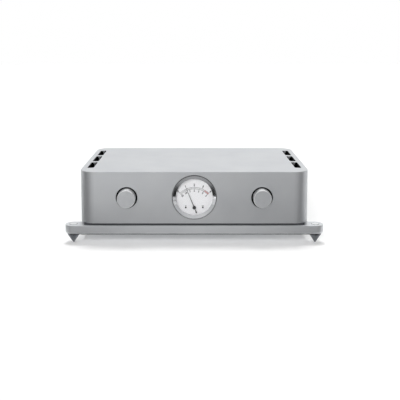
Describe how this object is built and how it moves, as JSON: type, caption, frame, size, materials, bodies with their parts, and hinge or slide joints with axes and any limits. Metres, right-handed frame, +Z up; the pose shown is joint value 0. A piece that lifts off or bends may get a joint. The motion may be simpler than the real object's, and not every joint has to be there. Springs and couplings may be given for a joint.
{
  "type": "preamplifier",
  "caption": "Satin aluminium preamplifier with a central round meter, two recessed knobs, vent slots, and a plate with corner ears on cone spikes.",
  "frame": {"origin": "on the floor under the middle of the whole object: between the knobs' faces and the phono sockets' ends, between the ears, level with the spikes' tips", "axes": "+Z up, +Y to the rear, so the front faces -Y, and +X to the right as seen from the front"},
  "size_m": [0.487, 0.298, 0.1375],
  "materials": {
    "case": "bead-blasted and clear anodised, satin",
    "panel": "clear anodised, satin",
    "knob": "turned face, clear anodised, satin",
    "sheet_black": "matt powder coat",
    "shadow_black": "matt black anodised",
    "meter_black": "satin black",
    "spike": "turned and nickel plated",
    "bush": "turned, satin",
    "fastener": "zinc plated",
    "fastener_black": "black oxide",
    "bezel": "polished",
    "glass": "clear, flat",
    "dial": "pale matt face with a printed scale",
    "iron": "plain, ground",
    "brass": "plain",
    "copper": "enamelled copper wire",
    "pointer_black": "matt black",
    "switch_wafer": "laminated wafer",
    "board": "green solder mask",
    "tape": "clear yellow tape over windings",
    "rubber": "matt",
    "sleeve": "shrunk sleeve",
    "sink": "black anodised extrusion",
    "module": "potted",
    "gold": "gold plated",
    "insulator_white": "moulded",
    "insulator_red": "moulded",
    "xlr_shell": "black plated die casting",
    "moulding": "fine texture",
    "blade": "nickel plated",
    "fuse_glass": "glass tube",
    "rocker": "polished moulding",
    "wire": "sleeved"
  },
  "bodies": {
    "chassis": {"housing": "case", "rear_panel": "panel", "bottom_cover": "sheet_black", "plinth": "shadow_black", "base_plate": "case", "spike_front_left": "spike", "spike_front_right": "spike", "spike_rear_left": "spike", "spike_rear_right": "spike", "spike_bushes": "bush", "base_bolts": "fastener", "cover_screws": "fastener", "pan_head_screws": "fastener_black", "meter_bezel": "bezel", "meter_glass": "glass", "glass_retainer": "shadow_black", "meter_dial": "dial", "dial_screws": "fastener", "meter_case": "meter_black", "meter_clamp_ring": "fastener", "meter_yoke": "iron", "meter_magnet": "iron", "meter_core": "iron", "front_bridge": "brass", "hairspring": "brass", "selector_switch": "switch_wafer", "volume_control": "sheet_black", "control_nuts": "fastener", "main_board": "board", "board_pillars": "fastener", "transformer": "tape", "transformer_pads": "rubber", "transformer_clamp": "fastener", "transformer_bolt": "fastener", "filter_capacitors": "sleeve", "heat_sinks": "sink", "gain_modules": "module", "io_board": "board", "rca_sockets": "gold", "rca_nuts": "gold", "rca_insulators_left": "insulator_white", "rca_insulators_right": "insulator_red", "socket_contacts": "gold", "xlr_sockets": "xlr_shell", "xlr_inserts": "moulding", "mains_inlet": "moulding", "inlet_blades": "blade", "power_switch": "moulding", "ground_post": "gold", "wiring": "wire"},
    "selector": {"selector_knob": "knob", "selector_shaft": "fastener"},
    "volume": {"volume_knob": "knob", "volume_shaft": "fastener"},
    "meter_movement": {"needle": "pointer_black", "moving_coil": "copper"},
    "rocker": {"power_rocker": "rocker"},
    "drawer": {"fuse_drawer": "moulding", "fuse": "fuse_glass"},
    "thumb_nut": {"ground_nut": "gold"}
  },
  "joints": [
    {"name": "selector_turn", "type": "hinge", "parent": "chassis", "child": "selector", "pos_m": [-0.1264, -0.136, 0.0885], "axis": [0, 1, 0], "range_deg": [-75, 75]},
    {"name": "volume_turn", "type": "hinge", "parent": "chassis", "child": "volume", "pos_m": [0.1264, -0.136, 0.0885], "axis": [0, 1, 0], "range_deg": [-150, 150]},
    {"name": "needle_swing", "type": "hinge", "parent": "chassis", "child": "meter_movement", "pos_m": [0, -0.1297, 0.0683], "axis": [0, 1, 0], "range_deg": [-24.5, 69.5], "stiffness_Nm_per_rad": 0.0002},
    {"name": "rocker_tilt", "type": "hinge", "parent": "chassis", "child": "rocker", "pos_m": [-0.104, 0.1336, 0.0885], "axis": [-1, 0, 0], "range_deg": [0, 20]},
    {"name": "drawer_slide", "type": "slide", "parent": "chassis", "child": "drawer", "axis": [0, 1, 0], "range_m": [0, 0.018]},
    {"name": "thumb_nut_turn", "type": "hinge", "parent": "chassis", "child": "thumb_nut", "pos_m": [-0.07, 0.1415, 0.0735], "axis": [0, 1, 0], "continuous": true}
  ]
}
